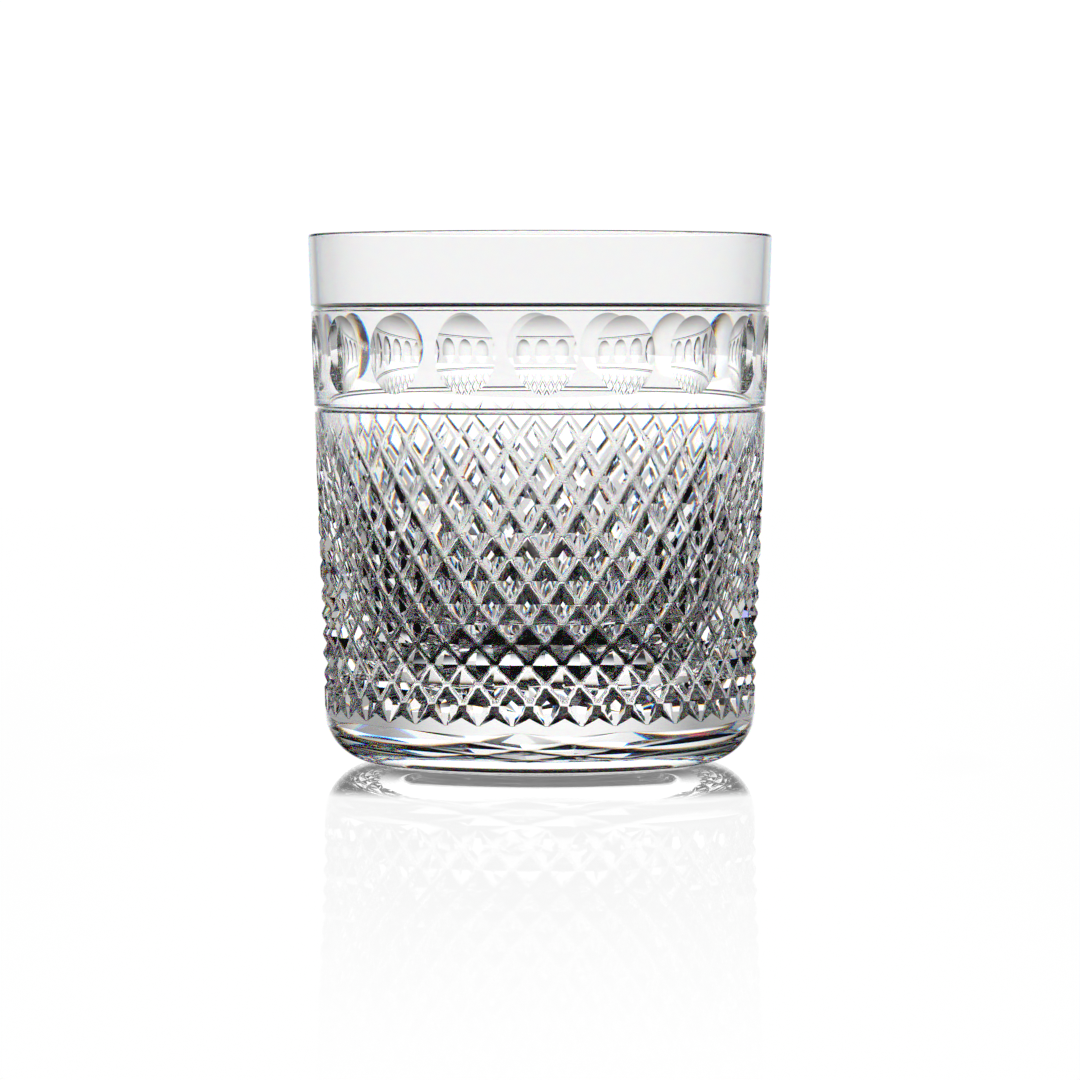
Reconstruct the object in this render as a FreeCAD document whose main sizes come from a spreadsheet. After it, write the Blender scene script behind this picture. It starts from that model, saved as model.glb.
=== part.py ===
"""Cut-crystal whiskey tumbler, one piece of glass, in millimetres.

The tumbler stands on z = 0 with its axis on Z. Its blank is turned: a slightly flared side, a rounded heel,
a foot ring round a shallow polished hollow, and a bowl with a thick base. Three cuts decorate it: two thin
ring grooves, a row of round lens cuts between them, and below them a band of raised diamonds, left standing
between two families of slanting V grooves that run out at both ends of the band.
"""

import FreeCAD, Part
import math
import os

import Sketcher
from FreeCAD import Vector

DRIVING = {
    "height": 98.0,
    "rim_radius": 43.13,
    "side_taper": 2.0,
    "lip_rounding": 0.6,
    "mouth_radius": 41.8,
    "bowl_taper": 3.0,
    "bend_level": 80.0,
    "bend_radius": 190.0,
    "bowl_floor": 18.0,
    "bowl_corner": 14.0,
    "heel_radius": 9.5,
    "hollow_radius": 28.5,
    "hollow_rise": 1.6,
    "ring_width": 1.15,
    "ring_depth": 0.5,
    "upper_ring": 84.15,
    "lower_ring": 65.6,
    "lens_count": 18,
    "lens_level": 74.95,
    "lens_sphere": 23.0,
    "lens_depth": 1.12,
    "diamond_count": 40,
    "groove_depth": 1.25,
    "facet_slope": 0.62,
    "band_bottom": 8.75,
    "bottom_rise": 4.1,
    "low_rise": 3.62,
    "middle_rise": 4.3,
    "high_rise": 5.11,
}
LOW_ROWS = 5
MIDDLE_ROWS = 3
HIGH_ROWS = 4

FULL_DEPTH_AT = 18.0
LOWER_RUN_OUT = 9.1
UPPER_RUN_OUT = 63.2
LOWER_FADE = 1.7
UPPER_FADE = 2.0

CLEAR = 8.0
ORIGIN = -1
X_AXIS = -1
Y_AXIS = -2
START, END, CENTRE = 1, 2, 3

doc = FreeCAD.newDocument("Tumbler")


def make_sheet():
    """The driving dimensions, one named cell each."""
    sheet = doc.addObject("Spreadsheet::Sheet", "sizes")
    for line, (name, value) in enumerate(DRIVING.items(), start=1):
        sheet.set(f"A{line}", name)
        sheet.set(f"B{line}", str(value))
        sheet.setAlias(f"B{line}", name)
    doc.recompute()
    return sheet


sheet = make_sheet()


def size(name):
    return float(sheet.get(name))


def side_radius(level):
    """Radius of the uncut side at a height."""
    return size("rim_radius") - (size("height") - level) * math.tan(math.radians(size("side_taper")))


def origin_plane(body, role):
    return next(plane for plane in body.Origin.OriginFeatures if plane.Role == role)


def new_sketch(body, name):
    """A sketch on the body's XZ plane: its x is the radius and its y is the height."""
    sketch = body.newObject("Sketcher::SketchObject", name)
    sketch.AttachmentSupport = [(origin_plane(body, "XZ_Plane"), "")]
    sketch.MapMode = "FlatFace"
    return sketch


def line(sketch, start, end):
    return sketch.addGeometry(Part.LineSegment(Vector(*start, 0), Vector(*end, 0)), False)


def arc(sketch, centre, radius, first, last):
    """An arc from one angle to another, in degrees, anticlockwise."""
    circle = Part.Circle(Vector(*centre, 0), Vector(0, 0, 1), radius)
    return sketch.addGeometry(Part.ArcOfCircle(circle, math.radians(first), math.radians(last)), False)


def bind(sketch, kind, *where, value, size_of):
    """A dimension of the sketch that follows the sheet."""
    index = sketch.addConstraint(Sketcher.Constraint(kind, *where, value))
    sketch.setExpression(f"Constraints[{index}]", size_of)


def join(sketch, *ends):
    """Each pair of ends in the list is one point."""
    for (first, first_end), (second, second_end) in ends:
        sketch.addConstraint(Sketcher.Constraint("Coincident", first, first_end, second, second_end))


def revolve(body, kind, name, sketch):
    feature = body.newObject(kind, name)
    feature.Profile = sketch
    feature.ReferenceAxis = (sketch, ["V_Axis"])
    feature.Angle = 360.0
    sketch.Visibility = False
    doc.recompute()
    return feature


def turned_blank(body):
    """The solid outside: hollow under the foot, foot ring, heel, flared side and flat top."""
    sketch = new_sketch(body, "blank_outline")
    heel = size("heel_radius")
    taper = math.radians(size("side_taper"))
    rise = size("hollow_rise")
    reach = size("hollow_radius")
    heel_centre = side_radius(heel) - heel / math.cos(taper)
    heel_end = (heel_centre + heel * math.cos(taper), heel - heel * math.sin(taper))
    rim = (size("rim_radius"), size("height"))
    hollow_sphere = (reach**2 + rise**2) / (2 * rise)
    spread = math.degrees(math.asin(reach / hollow_sphere))

    hollow = arc(sketch, (0, rise - hollow_sphere), hollow_sphere, 90 - spread, 90)
    foot = line(sketch, (reach, 0), (heel_centre, 0))
    corner = arc(sketch, (heel_centre, heel), heel, -90, -size("side_taper"))
    side = line(sketch, heel_end, rim)
    top = line(sketch, rim, (0, size("height")))
    axis = line(sketch, (0, size("height")), (0, rise))

    join(
        sketch,
        ((axis, END), (hollow, END)),
        ((hollow, START), (foot, START)),
        ((side, END), (top, START)),
        ((top, END), (axis, START)),
    )
    for point in ((axis, START), (axis, END), (hollow, CENTRE)):
        sketch.addConstraint(Sketcher.Constraint("PointOnObject", *point, Y_AXIS))
    sketch.addConstraint(Sketcher.Constraint("PointOnObject", foot, START, X_AXIS))
    sketch.addConstraint(Sketcher.Constraint("Horizontal", foot))
    sketch.addConstraint(Sketcher.Constraint("Horizontal", top))
    sketch.addConstraint(Sketcher.Constraint("Tangent", foot, END, corner, START))
    sketch.addConstraint(Sketcher.Constraint("Tangent", corner, END, side, START))
    bind(sketch, "DistanceX", ORIGIN, START, foot, START, value=reach, size_of="sizes.hollow_radius")
    bind(sketch, "DistanceY", ORIGIN, START, axis, END, value=rise, size_of="sizes.hollow_rise")
    bind(sketch, "Radius", corner, value=heel, size_of="sizes.heel_radius")
    bind(sketch, "DistanceX", ORIGIN, START, side, END, value=rim[0], size_of="sizes.rim_radius")
    bind(sketch, "DistanceY", ORIGIN, START, side, END, value=rim[1], size_of="sizes.height")
    bind(
        sketch, "Angle", X_AXIS, START, side, START,
        value=math.pi / 2 - taper, size_of="90 - sizes.side_taper",
    )
    return revolve(body, "PartDesign::Revolution", "blank", sketch)


def bowl(body):
    """The inside: a flat floor, a round corner, a bowed wall and a straight stretch up to the mouth."""
    sketch = new_sketch(body, "bowl_outline")
    taper = math.radians(size("bowl_taper"))
    floor = size("bowl_floor")
    corner_radius = size("bowl_corner")
    bend_radius = size("bend_radius")
    mouth = (size("mouth_radius"), size("height"))
    wall_start = (mouth[0] - (mouth[1] - size("bend_level")) * math.tan(taper), size("bend_level"))
    bend_centre = (
        wall_start[0] - bend_radius * math.cos(taper),
        wall_start[1] + bend_radius * math.sin(taper),
    )
    inward = bend_radius - corner_radius
    turn = math.asin((bend_centre[1] - floor - corner_radius) / inward)
    centre = (bend_centre[0] + inward * math.cos(turn), floor + corner_radius)

    base = line(sketch, (0, floor), (centre[0], floor))
    corner = arc(sketch, centre, corner_radius, -90, -math.degrees(turn))
    bend = arc(sketch, bend_centre, bend_radius, -math.degrees(turn), -size("bowl_taper"))
    wall = line(sketch, wall_start, mouth)
    opening = line(sketch, mouth, (0, mouth[1]))
    axis = line(sketch, (0, mouth[1]), (0, floor))

    join(
        sketch,
        ((axis, END), (base, START)),
        ((wall, END), (opening, START)),
        ((opening, END), (axis, START)),
    )
    for point in ((axis, START), (axis, END)):
        sketch.addConstraint(Sketcher.Constraint("PointOnObject", *point, Y_AXIS))
    sketch.addConstraint(Sketcher.Constraint("Horizontal", base))
    sketch.addConstraint(Sketcher.Constraint("Horizontal", opening))
    sketch.addConstraint(Sketcher.Constraint("Tangent", base, END, corner, START))
    sketch.addConstraint(Sketcher.Constraint("Tangent", corner, END, bend, START))
    sketch.addConstraint(Sketcher.Constraint("Tangent", bend, END, wall, START))
    bind(sketch, "DistanceY", ORIGIN, START, axis, END, value=floor, size_of="sizes.bowl_floor")
    bind(sketch, "Radius", corner, value=corner_radius, size_of="sizes.bowl_corner")
    bind(sketch, "Radius", bend, value=bend_radius, size_of="sizes.bend_radius")
    bind(
        sketch, "DistanceY", ORIGIN, START, wall, START,
        value=wall_start[1], size_of="sizes.bend_level",
    )
    bind(sketch, "DistanceX", ORIGIN, START, wall, END, value=mouth[0], size_of="sizes.mouth_radius")
    bind(sketch, "DistanceY", ORIGIN, START, wall, END, value=mouth[1], size_of="sizes.height")
    bind(
        sketch, "Angle", X_AXIS, START, wall, START,
        value=math.pi / 2 - taper, size_of="90 - sizes.bowl_taper",
    )
    return revolve(body, "PartDesign::Groove", "bowl", sketch)


def ring_groove(body, name, level_name):
    """A thin V groove round the side at the level that the sheet names."""
    sketch = new_sketch(body, name + "_outline")
    level = size(level_name)
    half = size("ring_width") / 2
    mouth = side_radius(level) + half
    bottom = side_radius(level) - size("ring_depth")
    half_mouth = half * (mouth - bottom) / size("ring_depth")

    lower = line(sketch, (mouth, level - half_mouth), (bottom, level))
    upper = line(sketch, (bottom, level), (mouth, level + half_mouth))
    outside = line(sketch, (mouth, level + half_mouth), (mouth, level - half_mouth))
    join(
        sketch,
        ((lower, END), (upper, START)),
        ((upper, END), (outside, START)),
        ((outside, END), (lower, START)),
    )
    side = f"(sizes.rim_radius - (sizes.height - sizes.{level_name}) * tan(sizes.side_taper))"
    sketch.addConstraint(Sketcher.Constraint("Vertical", outside))
    sketch.addConstraint(Sketcher.Constraint("Equal", lower, upper))
    bind(sketch, "DistanceY", ORIGIN, START, lower, END, value=level, size_of=f"sizes.{level_name}")
    bind(
        sketch, "DistanceX", ORIGIN, START, lower, END,
        value=bottom, size_of=f"{side} - sizes.ring_depth",
    )
    bind(
        sketch, "DistanceX", ORIGIN, START, lower, START,
        value=mouth, size_of=f"{side} + sizes.ring_width / 2",
    )
    bind(
        sketch, "DistanceY", lower, START, upper, END, value=2 * half_mouth,
        size_of="sizes.ring_width * (1 + sizes.ring_width / 2 / sizes.ring_depth)",
    )
    return revolve(body, "PartDesign::Groove", name, sketch)


def lens_cuts(body):
    """One round cut by a ball-shaped wheel on the front, then the row of them round the side."""
    cut = body.newObject("PartDesign::SubtractiveSphere", "lens_cut")
    cut.AttachmentSupport = [(origin_plane(body, "XZ_Plane"), "")]
    cut.MapMode = "FlatFace"
    cut.setExpression("Radius", "sizes.lens_sphere")
    cut.setExpression("AttachmentOffset.Base.y", "sizes.lens_level")
    cut.setExpression(
        "AttachmentOffset.Base.z",
        "sizes.rim_radius - (sizes.height - sizes.lens_level) * tan(sizes.side_taper)"
        " - sizes.lens_depth + sizes.lens_sphere",
    )
    doc.recompute()

    row = body.newObject("PartDesign::PolarPattern", "lens_row")
    row.Originals = [cut]
    row.Axis = (origin_plane(body, "Z_Axis"), [""])
    row.Angle = 360.0
    row.setExpression("Occurrences", "sizes.lens_count")
    body.Tip = row
    doc.recompute()
    return row


def rim_edges(shape):
    """The two circles at the top of the glass."""
    top = size("height")
    return [
        f"Edge{number}"
        for number, edge in enumerate(shape.Edges, start=1)
        if abs(edge.BoundBox.ZMin - top) < 0.01 and abs(edge.BoundBox.ZMax - top) < 0.01
    ]


def rounded_lip(body):
    before = body.Tip
    lip = body.newObject("PartDesign::Fillet", "rounded_lip")
    lip.Base = (before, rim_edges(before.Shape))
    lip.setExpression("Radius", "sizes.lip_rounding")
    body.Tip = lip
    doc.recompute()
    return lip


def crossing_levels():
    """Heights at which the slanting grooves cross, from the tips at the bottom to the tips at the top."""
    rises = [size("bottom_rise")]
    rises += [size("low_rise")] * LOW_ROWS
    rises += [size("middle_rise")] * MIDDLE_ROWS
    rises += [size("high_rise")] * HIGH_ROWS
    levels = [size("band_bottom")]
    for rise in rises:
        levels.append(levels[-1] + rise)
    return levels


def depth_at(level):
    """Depth of the slanting grooves, which run out at both ends of the band."""
    below = max(0.0, (FULL_DEPTH_AT - level) / (FULL_DEPTH_AT - LOWER_RUN_OUT))
    above = max(0.0, (level - FULL_DEPTH_AT) / (UPPER_RUN_OUT - FULL_DEPTH_AT))
    return size("groove_depth") * (1 - below**LOWER_FADE - above**UPPER_FADE)


def place(column, level, depth):
    """A point at a depth under the uncut side; column 0 faces -Y, and columns count anticlockwise."""
    angle = math.radians(column * 360.0 / size("diamond_count") - 90.0)
    radius = side_radius(level) - depth
    return Vector(radius * math.cos(angle), radius * math.sin(angle), level)


def peak_height(levels, row):
    """How far the four facets of a diamond rise over its groove, where they meet."""
    half_width = side_radius(levels[row]) * math.sin(math.pi / size("diamond_count"))
    neighbours = levels[max(row - 1, 0)], levels[min(row + 1, len(levels) - 1)]
    half_height = (neighbours[1] - neighbours[0]) / (2 if 0 < row < len(levels) - 1 else 1)
    return size("facet_slope") * half_width * half_height / math.hypot(half_width, half_height)


def envelope():
    """A closed solid with the faceted band as its side and plenty of room above and below it.

    Crossings on even rows stand on whole columns and crossings on odd rows stand between them. Each diamond
    has its peak on the row of its side crossings, so its facets are four flat triangles. The peaks stand
    outside the side, and what the blank leaves of them are the small uncut tops.
    """
    levels = crossing_levels()
    last = len(levels) - 1
    count = round(size("diamond_count"))

    def crossing(row, column):
        return place(column + 0.5 * (row % 2), levels[row], depth_at(levels[row]))

    def peak(row, column):
        rise = peak_height(levels, row)
        return place(column + 0.5 * ((row + 1) % 2), levels[row], depth_at(levels[row]) - rise)

    def far(column, level):
        return place(column, level, -CLEAR)

    low_end, high_end = -CLEAR, size("height") + CLEAR
    triangles = []
    for column in range(count):
        for row in range(last + 1):
            top = peak(row, column)
            right = crossing(row, column + 1 - row % 2)
            left = crossing(row, column - row % 2)
            if row < last:
                above = crossing(row + 1, column)
                triangles += [(top, right, above), (top, above, left)]
            if row > 0:
                below = crossing(row - 1, column)
                triangles += [(top, below, right), (top, left, below)]
        for row, end, turn in ((0, low_end, 1), (last, high_end, -1)):
            middle = column + 0.5 * ((row + 1) % 2)
            ring = [
                (crossing(row, column - row % 2), middle - 0.5),
                (peak(row, column), middle),
                (crossing(row, column + 1 - row % 2), middle + 0.5),
            ]
            for (here, at_here), (there, at_there) in zip(ring, ring[1:]):
                shelf = (here, far(at_here, levels[row]), far(at_there, levels[row]), there)
                wall = (shelf[1], far(at_here, end), far(at_there, end), shelf[2])
                cap = (wall[1], Vector(0, 0, end), wall[2])
                for a, b, c, d in (shelf, wall):
                    triangles += [(a, b, c)[::turn], (a, c, d)[::turn]]
                triangles.append(cap[::turn])
    facets = [Part.Face(Part.makePolygon([a, b, c, a])) for a, b, c in triangles]
    shell = Part.Compound(facets)
    shell.sewShape(1e-4)
    solid = Part.Solid(shell.Shells[0] if shell.Shells else Part.Shell(facets))
    if solid.Volume < 0:
        solid.reverse()
    return solid


def check(item):
    """Stops the build when an object has failed or has no sound shape."""
    if "Invalid" in item.State or "Error" in item.State:
        raise RuntimeError(f"{item.Label} failed: {item.State}")
    if hasattr(item, "Shape") and (item.Shape.isNull() or not item.Shape.isValid()):
        raise RuntimeError(f"{item.Label} has no valid shape")


def main():
    body = doc.addObject("PartDesign::Body", "cut_blank")
    body.Label = "cut_blank"
    volumes = []
    for step in (
        lambda: turned_blank(body),
        lambda: bowl(body),
        lambda: ring_groove(body, "upper_ring_groove", "upper_ring"),
        lambda: ring_groove(body, "lower_ring_groove", "lower_ring"),
        lambda: lens_cuts(body),
        lambda: rounded_lip(body),
    ):
        feature = step()
        check(feature)
        volumes.append(body.Shape.Volume)
        print(f"{feature.Name}: {body.Shape.Volume / 1000:.2f} ml of glass")
    if any(after >= before for before, after in zip(volumes, volumes[1:])):
        raise RuntimeError("a cut took nothing away")

    facets = doc.addObject("Part::Feature", "diamond_envelope")
    facets.Shape = envelope()
    facets.Placement = FreeCAD.Placement()

    tumbler = doc.addObject("Part::Common", "tumbler")
    tumbler.Label = "tumbler"
    tumbler.Base = body
    tumbler.Tool = facets
    doc.recompute()
    print(f"tumbler: {tumbler.Shape.Volume / 1000:.2f} ml, {len(tumbler.Shape.Faces)} faces")
    if len(tumbler.Shape.Solids) != 1 or tumbler.Shape.Volume >= volumes[-1]:
        raise RuntimeError("the diamond band was not cut")

    for item in doc.Objects:
        check(item)
    os.makedirs("parts", exist_ok=True)
    tumbler.Shape.exportStep(f"parts/{tumbler.Label}.step")


main()
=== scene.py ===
"""Cut-crystal whiskey tumbler: one finely meshed piece of glass in place of the plain CAD node.

Lengths inside the glass maker are millimetres, as in the part's source; the mesh is scaled to metres.
Angles run from -Y, anticlockwise seen from above, so columns count to the right on the front.
"""

import math
import random

import bmesh
import bpy
import numpy as np
from mathutils import Matrix, Vector


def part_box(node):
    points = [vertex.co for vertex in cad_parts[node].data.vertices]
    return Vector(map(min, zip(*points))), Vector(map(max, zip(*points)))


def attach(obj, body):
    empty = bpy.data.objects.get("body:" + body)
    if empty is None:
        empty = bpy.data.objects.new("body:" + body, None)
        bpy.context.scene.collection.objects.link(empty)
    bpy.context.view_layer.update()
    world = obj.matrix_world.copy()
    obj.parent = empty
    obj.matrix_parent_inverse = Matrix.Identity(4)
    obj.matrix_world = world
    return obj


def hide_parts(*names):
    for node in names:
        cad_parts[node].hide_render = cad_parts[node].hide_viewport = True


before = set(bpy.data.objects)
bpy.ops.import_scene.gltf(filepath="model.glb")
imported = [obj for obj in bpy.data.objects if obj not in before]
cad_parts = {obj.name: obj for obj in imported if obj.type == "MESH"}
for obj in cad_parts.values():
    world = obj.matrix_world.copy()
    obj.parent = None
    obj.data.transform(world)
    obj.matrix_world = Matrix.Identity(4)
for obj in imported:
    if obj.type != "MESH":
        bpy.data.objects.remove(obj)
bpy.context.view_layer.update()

MM = 0.001
TAU = 2 * math.pi

# ---------------------------------------------------------------- sizes

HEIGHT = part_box("tumbler")[1].z / MM
RIM_RADIUS = 43.13
SIDE_SLOPE = math.tan(math.radians(2.0))
LIP_ROUNDING = 0.6
MOUTH_RADIUS = 41.8
BOWL_TAPER = 3.0
BEND_LEVEL = 80.0
BEND_RADIUS = 190.0
BOWL_FLOOR = 18.0
BOWL_CORNER = 14.0
HEEL_RADIUS = 9.5
HOLLOW_RADIUS = 28.5
HOLLOW_RISE = 1.6

RING_WIDTH = 1.15
RING_DEPTH = 0.5
UPPER_RING = 84.15
LOWER_RING = 65.6

LENS_COUNT = 18
LENS_LEVEL = 74.95
LENS_SPHERE = 23.0
LENS_DEPTH = 1.12

COLUMNS = 40
GROOVE_DEPTH = 1.25
GROOVE_FLOOR = 0.6
FULL_FLOOR_AT = 0.2
FACET_SLOPE = 0.75
BAND_BOTTOM = 8.75
COLUMN_WIDTH = 6.6
ROW_RISES = [4.1] + [3.62] * 5 + [4.3] * 3 + [5.11] * 4
FULL_DEPTH_FROM, LOWER_RUN_OUT, LOWER_FADE = 18.0, 9.1, 1.7
FULL_DEPTH_TO, UPPER_RUN_OUT, UPPER_FADE = 18.0, 63.2, 2.0
LOW_ROW_DRIFT = (0.050, 0.055, 0.033, 0.010)
HAND_WANDER = 0.04

AROUND = 360


def side_radius(level):
    """Radius of the uncut side at a height."""
    return RIM_RADIUS - (HEIGHT - level) * SIDE_SLOPE


# ---------------------------------------------------------------- normals

# Each kind of face gives the outward normal at points on it, as an array.


def radial(points):
    across = points[:, :2] / np.maximum(np.hypot(points[:, 0], points[:, 1]), 1e-9)[:, None]
    return np.column_stack([across, np.zeros(len(points))])


def cone(slope, outward=1.0):
    """A wall whose radius grows by slope for each millimetre of height."""
    scale = outward / math.hypot(1.0, slope)
    return lambda points: scale * (radial(points) - slope * np.array([0, 0, 1.0]))


def roll(radius, level, outward=1.0):
    """A round corner or groove turned about Z, with its section's centre at (radius, level)."""

    def normals(points):
        section = radial(points) * (np.hypot(points[:, 0], points[:, 1]) - radius)[:, None]
        section[:, 2] = points[:, 2] - level
        return outward * section / np.linalg.norm(section, axis=1)[:, None]

    return normals


def ball(centre, outward=1.0):
    def normals(points):
        away = points - np.array(centre)
        return outward * away / np.linalg.norm(away, axis=1)[:, None]

    return normals


def level_face(direction):
    return lambda points: np.tile([0.0, 0.0, direction], (len(points), 1))


def depth_at(level):
    """Depth of the slanting grooves at a height: they run out at both ends of the band."""
    below = np.clip((FULL_DEPTH_FROM - level) / (FULL_DEPTH_FROM - LOWER_RUN_OUT), 0, None)
    above = np.clip((level - FULL_DEPTH_TO) / (UPPER_RUN_OUT - FULL_DEPTH_TO), 0, None)
    return GROOVE_DEPTH * (1 - below**LOWER_FADE - above**UPPER_FADE)


FLAT, ROUND = None, "round"
SIDE = cone(SIDE_SLOPE)

# ---------------------------------------------------------------- mesh maker


class Glass:
    """Collects the corners and faces of the glass, and how each face's normals run."""

    def __init__(self):
        self.points = []
        self.known = {}
        self.faces = []
        self.kinds = []

    def add(self, spot):
        """The number of the corner at a spot; the same spot is always the same corner."""
        key = tuple(round(float(value), 4) for value in spot)
        if key not in self.known:
            self.known[key] = len(self.points)
            self.points.append(tuple(float(value) for value in spot))
        return self.known[key]

    def ring(self, radius, level, count=AROUND):
        return [self.add(polar(TAU * i / count, radius, level)) for i in range(count)]

    def face(self, corners, kind):
        kept = [c for i, c in enumerate(corners) if c != corners[i - 1]]
        if len(kept) > 2:
            self.faces.append(tuple(kept))
            self.kinds.append(kind)

    def bridge(self, low, high, kind):
        """Quads between two closed rings with as many points each."""
        for i in range(len(low)):
            j = (i + 1) % len(low)
            self.face((low[i], low[j], high[j], high[i]), kind)

    def fan(self, middle, rim, kind):
        """Triangles from a point to each side of a closed rim."""
        for i in range(len(rim)):
            self.face((rim[i - 1], rim[i], middle), kind)

    def angle(self, corner):
        """Direction of a corner seen from above."""
        x, y, _ = self.points[corner]
        return math.atan2(x, -y) % TAU

    def stitch(self, low, high, kind, angle=None):
        """Triangles between two closed rings whose points don't match in number."""
        angle = angle or self.angle
        low, high = sorted(set(low), key=angle), sorted(set(high), key=angle)
        low_angles = [angle(p) for p in low] + [TAU + angle(low[0])]
        high_angles = [angle(p) for p in high] + [TAU + angle(high[0])]
        i = j = 0
        while i < len(low) or j < len(high):
            here, there = low[i % len(low)], high[j % len(high)]
            if j == len(high) or (i < len(low) and low_angles[i + 1] <= high_angles[j + 1]):
                i += 1
                self.face((here, low[i % len(low)], there), kind)
            else:
                j += 1
                self.face((here, high[j % len(high)], there), kind)


def polar(angle, radius, level):
    return np.array([radius * math.sin(angle), -radius * math.cos(angle), level])


glass = Glass()

# ---------------------------------------------------------------- diamond band

LEVELS = [BAND_BOTTOM]
for rise in ROW_RISES:
    LEVELS.append(LEVELS[-1] + rise)
LAST = len(LEVELS) - 1
SPLITS = 3
SIDE_HALVINGS = 24

# The half diamonds at both ends of the band have their peaks this far outside the side.
TOOTH_PEAKS = {0: 0.8, LAST: 1.3}

# The cutter's hand wanders a little, and the low rows drift to the right.
hand = random.Random(11)
crossings = {}
for row in range(LAST + 1):
    drift = LOW_ROW_DRIFT[row] if row < len(LOW_ROW_DRIFT) else 0.0
    for place in range(COLUMNS):
        across = place + 0.5 * (row % 2) + drift + hand.gauss(0, HAND_WANDER) / COLUMN_WIDTH
        crossings[row, place] = (across, LEVELS[row] + hand.gauss(0, HAND_WANDER))


def crossing(row, place):
    """Column and height of a groove crossing; places run on past the last column."""
    turns, place = divmod(place, COLUMNS)
    across, level = crossings[row, place]
    return np.array([across + turns * COLUMNS, level])


def to_plane(spot, about):
    """(column, height) as millimetres across and up from another such spot."""
    wide = side_radius(about[1]) * TAU / COLUMNS
    return np.array([(spot[0] - about[0]) * wide, spot[1] - about[1]])


def from_plane(offset, about):
    wide = side_radius(about[1]) * TAU / COLUMNS
    return np.array([about[0] + offset[0] / wide, about[1] + offset[1]])


def under_side(spot, depth):
    """The point at (column, height) that lies a depth under the uncut side."""
    return polar(spot[0] * TAU / COLUMNS, side_radius(spot[1]) - depth, spot[1])


def neighbour(row, place, up, right):
    """The crossing reached along a groove from this one."""
    return crossing(row + (1 if up else -1), place + row % 2 - (0 if right else 1))


def floor_half(level):
    """Half the width of the grooves' floor, which narrows where they are shallow."""
    return GROOVE_FLOOR * min(1.0, max(0.0, float(depth_at(level))) / (FULL_FLOOR_AT * GROOVE_DEPTH))


def corner(row, place, wedge):
    """The corner that a diamond has at a crossing: wedge says on which side of it the diamond lies."""
    here = crossing(row, place)
    directions = {
        "up": ((True, True), (True, False)),
        "down": ((False, True), (False, False)),
        "right": ((True, True), (False, True)),
        "left": ((True, False), (False, False)),
    }[wedge]
    first, second = (to_plane(neighbour(row, place, *d), here) for d in directions)
    first = first / np.linalg.norm(first)
    second = second / np.linalg.norm(second)
    spread = abs(first[0] * second[1] - first[1] * second[0])
    spot = from_plane((first + second) * floor_half(here[1]) / spread, here)
    return under_side(spot, float(depth_at(spot[1])))


def run_out(row, place, up, right):
    """Where the groove from a crossing towards an end of the band comes up to the side."""
    here, there = crossing(row, place), neighbour(row, place, up, right)
    limit = UPPER_RUN_OUT if up else LOWER_RUN_OUT
    share = (limit - here[1]) / (there[1] - here[1])
    return under_side(here + (there - here) * share, 0.0)


def on_side(base, peak):
    """Where the line from a point in the glass to a peak outside it passes through the side."""
    low, high = 0.0, 1.0
    for _ in range(SIDE_HALVINGS):
        middle = (low + high) / 2
        x, y, z = base + (peak - base) * middle
        if math.hypot(x, y) < side_radius(z):
            low = middle
        else:
            high = middle
    return base + (peak - base) * low


def diamond_edges(row, place):
    """The lower edges of a diamond's facets, anticlockwise from the right.

    Each is (start, end, open end), and the open end, if any, is where a groove runs out.
    """
    right, left = place + 1 - row % 2, place - row % 2
    edges = []
    if row < LAST:
        if row == 0:
            edges.append((run_out(1, place, False, True), corner(1, place, "down"), "start"))
            edges.append((corner(1, place, "down"), run_out(1, place, False, False), "end"))
        elif row == LAST - 1:
            edges.append((corner(row, right, "left"), run_out(row, right, True, False), "end"))
            edges.append((run_out(row, left, True, True), corner(row, left, "right"), "start"))
        else:
            edges.append((corner(row, right, "left"), corner(row + 1, place, "down"), ""))
            edges.append((corner(row + 1, place, "down"), corner(row, left, "right"), ""))
    if row > 0:
        if row == LAST:
            edges.append((run_out(row - 1, place, True, False), corner(row - 1, place, "up"), "start"))
            edges.append((corner(row - 1, place, "up"), run_out(row - 1, place, True, True), "end"))
        elif row == 1:
            edges.append((corner(row, left, "right"), run_out(row, left, False, True), "end"))
            edges.append((run_out(row, right, False, False), corner(row, right, "left"), "start"))
        else:
            edges.append((corner(row, left, "right"), corner(row - 1, place, "up"), ""))
            edges.append((corner(row - 1, place, "up"), corner(row, right, "left"), ""))
    return edges


def peak_of(row, place):
    """The point outside the side at which a diamond's facets would meet."""
    right, left = crossing(row, place + 1 - row % 2), crossing(row, place - row % 2)
    middle = (right + left) / 2
    if row in TOOTH_PEAKS:
        return under_side(middle, -TOOTH_PEAKS[row])
    half_height = (crossing(row + 1, place)[1] - crossing(row - 1, place)[1]) / 2
    half_width = to_plane(right, middle)[0]
    run = half_width * half_height / math.hypot(half_width, half_height) - GROOVE_FLOOR
    return under_side(middle, float(depth_at(middle[1])) - FACET_SLOPE * run)


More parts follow.
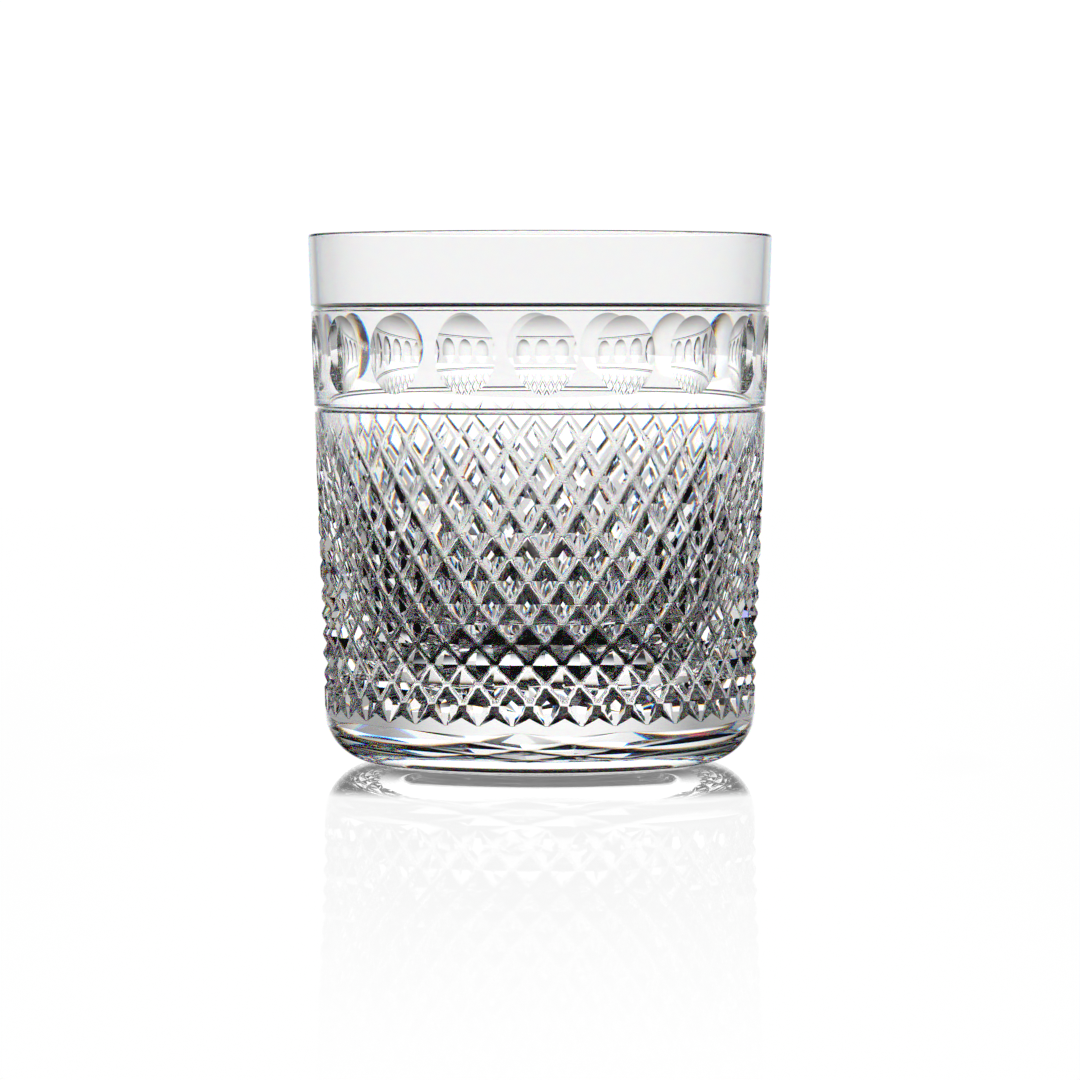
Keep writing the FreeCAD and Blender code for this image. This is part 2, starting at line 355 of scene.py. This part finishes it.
def build_band():
    """Facets and tops of all the diamonds; returns the points of each foot and the band's two rims."""
    feet, rims = {}, {0: [], LAST: []}
    for row in range(LAST + 1):
        for place in range(COLUMNS):
            edges = diamond_edges(row, place)
            peak = peak_of(row, place)
            top = []
            lines = []
            for start, end, open_at in edges:
                shares = [step / SPLITS for step in range(SPLITS + 1)]
                low = [start * (1 - share) + end * share for share in shares]
                high = [on_side(spot, peak) for spot in low]
                if open_at == "start":
                    high[0] = low[0]
                if open_at == "end":
                    high[-1] = low[-1]
                low = [glass.add(spot) for spot in low]
                high = [glass.add(spot) for spot in high]
                for i in range(SPLITS):
                    glass.face((low[i], low[i + 1], high[i + 1], high[i]), FLAT)
                lines.append(low)
                top += high
            feet[row, place] = lines
            if row in rims:
                rims[row] += top
            else:
                middle = (crossing(row, place + 1 - row % 2) + crossing(row, place - row % 2)) / 2
                glass.fan(glass.add(under_side(middle, 0.0)), top, SIDE)
    return feet, rims


def build_floors(feet):
    """Strips along the grooves and a small patch at each crossing."""
    for row in range(LAST):
        for place in range(COLUMNS):
            own = feet[row, place]
            for line, other in (
                (own[0], feet[row + 1, (place + 1 - row % 2) % COLUMNS][-2]),
                (own[1], feet[row + 1, (place - row % 2) % COLUMNS][-1]),
            ):
                facing = other[::-1]
                for i in range(SPLITS):
                    glass.face((line[i + 1], line[i], facing[i], facing[i + 1]), ROUND)
    for row in range(1, LAST):
        for place in range(COLUMNS):
            patch = [glass.add(corner(row, place, wedge)) for wedge in ("right", "up", "left", "down")]
            glass.face(patch, ROUND)


feet, band_rims = build_band()
build_floors(feet)

# ---------------------------------------------------------------- foot and heel

HEEL_STEPS = 18
HOLLOW_STEPS = 10

tilt = math.atan(SIDE_SLOPE)
heel_centre = side_radius(HEEL_RADIUS) - HEEL_RADIUS / math.cos(tilt)
hollow_ball = (HOLLOW_RADIUS**2 + HOLLOW_RISE**2) / (2 * HOLLOW_RISE)
hollow_centre = HOLLOW_RISE - hollow_ball


def spaced(first, last, steps):
    return [first + (last - first) * i / steps for i in range(steps + 1)]


def skin(outline, kind):
    """Rings turned about Z through the (radius, level) points of an outline, joined into a wall."""
    rings = [glass.ring(radius, level) for radius, level in outline]
    for low, high in zip(rings, rings[1:]):
        glass.bridge(low, high, kind)
    return rings[0], rings[-1]


def arc(centre, radius, first, last, steps):
    """Points of a section's arc; angles in degrees from level outward, turning upward."""
    turns = [math.radians(a) for a in spaced(first, last, steps)]
    return [(centre[0] + radius * math.cos(t), centre[1] + radius * math.sin(t)) for t in turns]


def build_foot():
    """Hollow, foot and heel, up to the band's lower rim."""
    radii = spaced(HOLLOW_RADIUS / HOLLOW_STEPS, HOLLOW_RADIUS, HOLLOW_STEPS - 1)
    hollow = [(r, hollow_centre + math.sqrt(hollow_ball**2 - r**2)) for r in radii]
    inside = ball((0, 0, hollow_centre), outward=-1.0)
    first, _ = skin(hollow, inside)
    glass.fan(glass.add((0, 0, HOLLOW_RISE)), first, inside)
    skin([(HOLLOW_RADIUS, 0.0), (heel_centre, 0.0)], level_face(-1.0))
    heel = arc((heel_centre, HEEL_RADIUS), HEEL_RADIUS, -90, -math.degrees(tilt), HEEL_STEPS)
    _, top = skin(heel, roll(heel_centre, HEEL_RADIUS))
    glass.stitch(top, band_rims[0], SIDE)


build_foot()

# ---------------------------------------------------------------- ring grooves

RING_STEPS = 10


def build_ring_groove(level):
    """A round-bottomed groove turned into the side; returns its lower and upper rims."""
    half = RING_WIDTH / 2
    radius = (half**2 + RING_DEPTH**2) / (2 * RING_DEPTH)
    centre = (side_radius(level) + radius - RING_DEPTH, level)
    sweep = math.degrees(math.asin(half / radius))
    points = arc(centre, radius, 180 + sweep, 180 - sweep, RING_STEPS)
    rims = ((side_radius(points[0][1]), points[0][1]), (side_radius(points[-1][1]), points[-1][1]))
    points[0], points[-1] = rims
    return skin(points, roll(*centre, outward=-1.0))


lower_rims = build_ring_groove(LOWER_RING)
upper_rims = build_ring_groove(UPPER_RING)
glass.stitch(band_rims[LAST], lower_rims[0], SIDE)

# ---------------------------------------------------------------- lenses

LENS_STEPS = 72
LENS_RINGS = 7
LENS_ASIDE = 8
LENS_HALVINGS = 30
lens_out = side_radius(LENS_LEVEL) - LENS_DEPTH + LENS_SPHERE
SECTOR = AROUND // LENS_COUNT


def lens_edge(turn):
    """How far the lens reaches from its middle along the side, in a direction in the side's surface."""
    near, far = 0.0, LENS_SPHERE
    for _ in range(LENS_HALVINGS):
        reach = (near + far) / 2
        level = LENS_LEVEL + reach * math.sin(turn)
        radius = side_radius(level)
        angle = reach * math.cos(turn) / side_radius(LENS_LEVEL)
        gap = radius**2 + lens_out**2 - 2 * radius * lens_out * math.cos(angle) + (level - LENS_LEVEL) ** 2
        if gap < LENS_SPHERE**2:
            near = reach
        else:
            far = reach
    return near


def in_lens(facing, turn, reach):
    """A point of the lens's hollow, at a reach from its middle."""
    angle = reach * math.cos(turn) / side_radius(LENS_LEVEL)
    rise = reach * math.sin(turn)
    middle = lens_out * math.cos(angle)
    radius = middle - math.sqrt(middle**2 - lens_out**2 - rise**2 + LENS_SPHERE**2)
    return polar(facing + angle, radius, LENS_LEVEL + rise)


def build_lens(number):
    """One hollow, and the side around it out to the middle of the strips between the lenses."""
    facing = TAU * number / LENS_COUNT
    turns = [TAU * i / LENS_STEPS for i in range(LENS_STEPS)]
    edges = [lens_edge(turn) for turn in turns]
    hollow = ball(polar(facing, lens_out, LENS_LEVEL), outward=-1.0)
    rings = []
    for share in spaced(1 / LENS_RINGS, 1.0, LENS_RINGS - 1):
        rings.append([glass.add(in_lens(facing, turn, edge * share)) for turn, edge in zip(turns, edges)])
    for low, high in zip(rings, rings[1:]):
        glass.bridge(low, high, hollow)
    glass.fan(glass.add(in_lens(facing, 0.0, 0.0)), rings[0], hollow)

    first = number * SECTOR - SECTOR // 2
    low = [lower_rims[1][(first + i) % AROUND] for i in range(SECTOR + 1)]
    high = [upper_rims[0][(first + i) % AROUND] for i in range(SECTOR + 1)]
    bottom, top = glass.points[low[0]][2], glass.points[high[0]][2]
    aside = []
    for step in (first, first + SECTOR):
        for level in spaced(bottom, top, LENS_ASIDE)[1:-1]:
            aside.append(glass.add(polar(TAU * step / AROUND, side_radius(level), level)))

    def turn_of(number):
        x, y, z = glass.points[number]
        across = (math.atan2(x, -y) - facing + math.pi) % TAU - math.pi
        return math.atan2(z - LENS_LEVEL, across * side_radius(LENS_LEVEL)) % TAU

    glass.stitch(rings[-1], low + high + aside, SIDE, turn_of)


for number in range(LENS_COUNT):
    build_lens(number)

# ---------------------------------------------------------------- lip and bowl

LIP_STEPS = 8
WALL_STEPS = 20
CORNER_STEPS = 26
FLOOR_STEPS = 6


def build_bowl():
    """The side above the upper groove, the lip, and the bowl inside."""
    lean = math.degrees(tilt)
    level = HEIGHT - LIP_ROUNDING
    slope = math.tan(math.radians(BOWL_TAPER))
    outer = (side_radius(level) - LIP_ROUNDING / math.cos(tilt), level)
    inner_radius = MOUTH_RADIUS - LIP_ROUNDING * slope + LIP_ROUNDING / math.cos(math.radians(BOWL_TAPER))
    inner = (inner_radius, level)
    outer_arc = arc(outer, LIP_ROUNDING, -lean, 90, LIP_STEPS)
    inner_arc = arc(inner, LIP_ROUNDING, 90, 180 - BOWL_TAPER, LIP_STEPS)
    glass.bridge(upper_rims[1], glass.ring(*outer_arc[0]), SIDE)
    skin(outer_arc, roll(*outer))
    skin([outer_arc[-1], inner_arc[0]], level_face(1.0))
    skin(inner_arc, roll(*inner))

    start = math.radians(BOWL_TAPER)
    bend_radius = MOUTH_RADIUS - (HEIGHT - BEND_LEVEL) * slope - BEND_RADIUS * math.cos(start)
    bend = (bend_radius, BEND_LEVEL + BEND_RADIUS * math.sin(start))
    inward = BEND_RADIUS - BOWL_CORNER
    turn = math.asin((bend[1] - BOWL_FLOOR - BOWL_CORNER) / inward)
    corner_centre = (bend[0] + inward * math.cos(turn), BOWL_FLOOR + BOWL_CORNER)
    wall_arc = arc(bend, BEND_RADIUS, -BOWL_TAPER, -math.degrees(turn), WALL_STEPS)
    corner_arc = arc(corner_centre, BOWL_CORNER, -math.degrees(turn), -90, CORNER_STEPS)
    skin([inner_arc[-1], wall_arc[0]], cone(slope, outward=-1.0))
    skin(wall_arc, roll(*bend, outward=-1.0))
    skin(corner_arc, roll(*corner_centre, outward=-1.0))
    radii = spaced(corner_centre[0], corner_centre[0] / FLOOR_STEPS, FLOOR_STEPS - 1)
    _, last = skin([(radius, BOWL_FLOOR) for radius in radii], level_face(1.0))
    glass.fan(glass.add((0, 0, BOWL_FLOOR)), last, level_face(1.0))


build_bowl()

# ---------------------------------------------------------------- mesh


def make_mesh(name):
    """The glass as one mesh whose smooth faces carry their true normals."""
    mesh = bpy.data.meshes.new(name)
    mesh.from_pydata(glass.points, [], glass.faces)
    build = bmesh.new()
    build.from_mesh(mesh)
    bmesh.ops.recalc_face_normals(build, faces=build.faces)
    build.to_mesh(mesh)
    build.free()

    points = np.array(glass.points)
    total = len(mesh.loops)
    corners = np.empty(total, int)
    mesh.loops.foreach_get("vertex_index", corners)
    starts = np.empty(len(mesh.polygons), int)
    counts = np.empty(len(mesh.polygons), int)
    flat = np.empty(len(mesh.polygons) * 3)
    mesh.polygons.foreach_get("loop_start", starts)
    mesh.polygons.foreach_get("loop_total", counts)
    mesh.polygons.foreach_get("normal", flat)
    owners = np.repeat(np.arange(len(starts)), counts)
    normals = flat.reshape(-1, 3)[owners]
    kinds = np.array([id(kind) for kind in glass.kinds])[owners]
    facets = np.zeros_like(points)
    of_facets = kinds == id(FLAT)
    np.add.at(facets, corners[of_facets], normals[of_facets])
    rounded = kinds == id(ROUND)
    normals[rounded] = facets[corners[rounded]]
    normals[rounded] /= np.linalg.norm(normals[rounded], axis=1)[:, None]
    for kind in set(glass.kinds) - {FLAT, ROUND}:
        chosen = kinds == id(kind)
        normals[chosen] = kind(points[corners[chosen]])
    mesh.transform(Matrix.Scale(MM, 4))
    mesh.polygons.foreach_set("use_smooth", [True] * len(mesh.polygons))
    mesh.normals_split_custom_set(normals.tolist())
    mesh.update()
    return mesh


mesh = make_mesh("crystal_tumbler")
tumbler = bpy.data.objects.new("crystal_tumbler", mesh)
bpy.context.scene.collection.objects.link(tumbler)

# ---------------------------------------------------------------- crystal

IOR = 1.55
CLEAR = 0.99

# Each colour of the light, and how strongly the crystal bends it.
FIRE = (((CLEAR, 0, 0, 1), 1.545), ((0, CLEAR, 0, 1), IOR), ((0, 0, CLEAR, 1), 1.556))


def new_material(name):
    """A material with only its output node; gives the material, a node maker, a linker and the output."""
    material = bpy.data.materials.new(name)
    material.use_nodes = True
    tree = material.node_tree
    tree.nodes.clear()
    return material, tree.nodes.new, tree.links.new, tree.nodes.new("ShaderNodeOutputMaterial")


def clear_glass(node, colour, bending):
    glass_shader = node("ShaderNodeBsdfGlass")
    glass_shader.inputs["Color"].default_value = colour
    glass_shader.inputs["Roughness"].default_value = 0.0
    glass_shader.inputs["IOR"].default_value = bending
    return glass_shader


def crystal_material():
    """Lead crystal: colourless, and the first face that is looked through splits the light a little."""
    material, node, link, output = new_material("lead_crystal")
    plain = node("ShaderNodeBsdfPrincipled")
    plain.inputs["Base Color"].default_value = (CLEAR, CLEAR, CLEAR, 1)
    plain.inputs["Roughness"].default_value = 0.0
    plain.inputs["IOR"].default_value = IOR
    plain.inputs["Transmission Weight"].default_value = 1.0
    split = clear_glass(node, *FIRE[0])
    for colour, bending in FIRE[1:]:
        both = node("ShaderNodeAddShader")
        link(split.outputs[0], both.inputs[0])
        link(clear_glass(node, colour, bending).outputs[0], both.inputs[1])
        split = both
    path = node("ShaderNodeLightPath")
    mix = node("ShaderNodeMixShader")
    link(path.outputs["Is Camera Ray"], mix.inputs["Fac"])
    link(plain.outputs[0], mix.inputs[1])
    link(split.outputs[0], mix.inputs[2])
    link(mix.outputs[0], output.inputs["Surface"])
    return material


mesh.materials.append(crystal_material())
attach(tumbler, "root")
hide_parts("tumbler")

# ---------------------------------------------------------------- camera

CAMERA_AWAY = 1.0
CAMERA_HEIGHT = 0.079
CAMERA_TURN = math.radians(-1.3)
AIM_HEIGHT = 0.0411
CAMERA_LENS = 178.9
SENSOR_WIDTH = 36.0
NEAREST_SEEN = 0.01

camera_data = bpy.data.cameras.new("camera")
camera_data.lens = CAMERA_LENS
camera_data.sensor_width = SENSOR_WIDTH
camera_data.clip_start = NEAREST_SEEN
camera = bpy.data.objects.new("camera", camera_data)
bpy.context.scene.collection.objects.link(camera)
camera.location = (CAMERA_AWAY * math.sin(CAMERA_TURN), -CAMERA_AWAY * math.cos(CAMERA_TURN), CAMERA_HEIGHT)
aim = Vector((0, 0, AIM_HEIGHT)) - camera.location
camera.rotation_euler = aim.to_track_quat("-Z", "Y").to_euler()
bpy.context.scene.camera = camera

# ---------------------------------------------------------------- studio

# Pairs are the start and the end of a smooth change. Distances are metres, turns are degrees about
# the glass from straight behind it, and shares are parts of the full light.

WHITE = 1.03
# Painted light: the glow of the table where the glass sees it lit.
TABLE_LIGHT = 1.3
TABLE_WHITE = 1.0
# DARK is the glow of the table's painted shade, and the world's light to the glass.
DARK = 0.004

SCREEN_AWAY = 0.6
SCREEN_FADE = (0.11, 0.25)
SCREEN_FOOT = -0.01
SCREEN_STEPS = 144
BRIGHT_TURNS = (6, 60)
BEHIND = (0.0, 0.03)
SCREEN_AROUND = 0.4

TABLE_REACH = 1.5
TABLE_TOP = -0.0002
TABLE_AROUND = 0.7
# Painted light: from these distances out, the table glows all round for the glass.
AROUND_FROM = (0.14, 0.22)
# Painted shade: the dark patch that the glass sees about its foot ends between these distances.
SHADED_PATCH_RIM = (0.075, 0.11)
# Painted light: a ring of the table round the foot glows for the glass between these distances.
RING_FROM = (0.034, 0.036)
RING_TO = (0.058, 0.064)

MIRROR = 0.8
MIRROR_RIM = (0.068, 0.092)
GHOST = 0.10
GHOST_RIM = (0.092, 0.50)
GLOSS_SLOPES = (15.0, 5.5)

BOUNCES = 32
MIRROR_BOUNCES = 16


def ramp(node, link, value, ends, results):
    """A smooth step of a value between two ends, to one of two results."""
    step = node("ShaderNodeMapRange")
    step.interpolation_type = "SMOOTHSTEP"
    step.inputs["From Min"].default_value, step.inputs["From Max"].default_value = ends
    step.inputs["To Min"].default_value, step.inputs["To Max"].default_value = results
    link(value, step.inputs["Value"])
    return step.outputs[0]


def math_node(node, link, operation, first, second):
    """A Math node on two values, of which the second may be a plain number."""
    step = node("ShaderNodeMath")
    step.operation = operation
    link(first, step.inputs[0])
    if isinstance(second, float):
        step.inputs[1].default_value = second
    else:
        link(second, step.inputs[1])
    return step.outputs[0]


def glow(node, strength):
    light = node("ShaderNodeEmission")
    light.inputs["Strength"].default_value = strength
    return light


def mixed(node, link, factor, first, second):
    mix = node("ShaderNodeMixShader")
    link(factor, mix.inputs["Fac"])
    link(first.outputs[0], mix.inputs[1])
    link(second.outputs[0], mix.inputs[2])
    return mix


def place_on(node, link):
    """The place of a point on a piece of the studio, whole and as X, Y and Z."""
    place = node("ShaderNodeTexCoord").outputs["Object"]
    split = node("ShaderNodeSeparateXYZ")
    link(place, split.inputs[0])
    return place, split.outputs


def screen_material():
    """A lit screen: brightest behind the glass, dimmer all round it, and fading out upwards."""
    material, node, link, output = new_material("lit_screen")
    _, axes = place_on(node, link)
    aside = math_node(node, link, "ABSOLUTE", axes["X"], 0.0)
    ends = [SCREEN_AWAY * math.sin(math.radians(turn)) for turn in BRIGHT_TURNS]
    middle = ramp(node, link, aside, ends, (1.0, 0.0))
    behind = ramp(node, link, axes["Y"], BEHIND, (0.0, 1.0))
    low = ramp(node, link, axes["Z"], SCREEN_FADE, (1.0, 0.0))
    share = math_node(node, link, "MULTIPLY", middle, behind)
    share = math_node(node, link, "MAXIMUM", share, SCREEN_AROUND)
    share = math_node(node, link, "MULTIPLY", share, low)
    light = node("ShaderNodeEmission")
    link(math_node(node, link, "MULTIPLY", share, WHITE), light.inputs["Strength"])
    link(light.outputs[0], output.inputs["Surface"])
    return material


def lit_share(node, link, axes, away):
    """Where the table glows with painted light for the glass: behind it past the dark patch of painted
    shade and in a ring, and all round far out.
    """
    aside = math_node(node, link, "ABSOLUTE", axes["X"], 0.0)
    turn = math_node(node, link, "DIVIDE", aside, away)
    ends = [math.sin(math.radians(angle)) for angle in BRIGHT_TURNS]
    middle = ramp(node, link, turn, ends, (1.0, 0.0))
    behind = ramp(node, link, axes["Y"], BEHIND, (0.0, 1.0))
    past_shaded_patch = ramp(node, link, away, SHADED_PATCH_RIM, (0.0, 1.0))
    past_start = ramp(node, link, away, RING_FROM, (0.0, 1.0))
    before_end = ramp(node, link, away, RING_TO, (1.0, 0.0))
    lit = math_node(node, link, "MULTIPLY", past_start, before_end)
    lit = math_node(node, link, "MAXIMUM", lit, past_shaded_patch)
    lit = math_node(node, link, "MULTIPLY", lit, middle)
    lit = math_node(node, link, "MULTIPLY", lit, behind)
    all_round = ramp(node, link, away, AROUND_FROM, (0.0, TABLE_AROUND))
    return math_node(node, link, "MAXIMUM", lit, all_round)


def table_material():
    """White table whose middle, on which the glass stands, is a dark polished patch of painted shade.

    The glass sees the dark patch of painted shade about its foot, and the parts of the table that glow with
    painted light. To the eye the table is white all over,
    with the glass mirrored in it: clearly near the foot, and faintly further out.
    """
    material, node, link, output = new_material("table")
    place, axes = place_on(node, link)
    length = node("ShaderNodeVectorMath")
    length.operation = "LENGTH"
    link(place, length.inputs[0])
    away = length.outputs["Value"]
    facing = node("ShaderNodeLayerWeight")
    facing.inputs["Blend"].default_value = 0.5
    ends = [1 - math.sin(math.radians(slope)) for slope in GLOSS_SLOPES]
    gloss = ramp(node, link, facing.outputs["Facing"], ends, (0.0, 1.0))
    mirror = node("ShaderNodeBsdfGlossy")
    mirror.inputs["Roughness"].default_value = 0.0
    mirror.inputs["Color"].default_value = (1, 1, 1, 1)

    # Painted shade: to the glass the table is a dark glow under and around the foot; its gloss is a real
    # mirror, which shows at grazing angles.
    shaded_patch = mixed(node, link, gloss, glow(node, DARK), mirror)
    lit = lit_share(node, link, axes, away)
    # Painted light: where it is lit, the table glows for the glass in place of the shaded patch.
    to_glass = mixed(node, link, lit, shaded_patch, glow(node, TABLE_LIGHT))

    near = ramp(node, link, away, MIRROR_RIM, (MIRROR, 0.0))
    far = ramp(node, link, away, GHOST_RIM, (GHOST, 0.0))
    strength = math_node(node, link, "MAXIMUM", near, far)
    strength = math_node(node, link, "MULTIPLY", strength, gloss)
    to_eye = mixed(node, link, strength, glow(node, TABLE_WHITE), mirror)

    path = node("ShaderNodeLightPath")
    both = mixed(node, link, path.outputs["Is Camera Ray"], to_glass, to_eye)
    link(both.outputs[0], output.inputs["Surface"])
    return material


def stage_piece(name, corners, faces, material):
    """A piece of the studio, squared up to the camera's place in front of the glass."""
    mesh = bpy.data.meshes.new(name)
    mesh.from_pydata(corners, [], faces)
    mesh.materials.append(material)
    piece = bpy.data.objects.new(name, mesh)
    piece.rotation_euler.z = CAMERA_TURN
    bpy.context.scene.collection.objects.link(piece)
    return piece


def build_screen():
    """A low round screen about the glass, which the eye looks through and only the glass sees."""
    turns = [math.radians(turn) for turn in spaced(-180.0, 180.0, SCREEN_STEPS)]
    levels = (SCREEN_FOOT, SCREEN_FADE[1])
    corners = [(SCREEN_AWAY * math.sin(t), SCREEN_AWAY * math.cos(t), z) for z in levels for t in turns]
    above = len(turns)
    faces = [(i, i + 1, i + above + 1, i + above) for i in range(SCREEN_STEPS)]
    stage_piece("screen", corners, faces, screen_material()).visible_camera = False


def build_table():
    reach = TABLE_REACH
    square = [(-reach, -reach, 0), (reach, -reach, 0), (reach, reach, 0), (-reach, reach, 0)]
    stage_piece("table", square, [(0, 1, 2, 3)], table_material()).location.z = TABLE_TOP


build_screen()
build_table()


def build_world():
    """White to the eye and dark to the glass, so that only the screen and the table light it."""
    world = bpy.data.worlds.new("studio")
    bpy.context.scene.world = world
    world.use_nodes = True
    nodes, links = world.node_tree.nodes, world.node_tree.links
    background = nodes["Background"]
    path = nodes.new("ShaderNodeLightPath")
    strength = ramp(nodes.new, links.new, path.outputs["Is Camera Ray"], (0.0, 1.0), (DARK, WHITE))
    background.inputs["Color"].default_value = (1, 1, 1, 1)
    links.new(strength, background.inputs["Strength"])


build_world()

scene = bpy.context.scene
scene.view_settings.view_transform = "Standard"
scene.cycles.max_bounces = BOUNCES
scene.cycles.transmission_bounces = BOUNCES
scene.cycles.glossy_bounces = MIRROR_BOUNCES
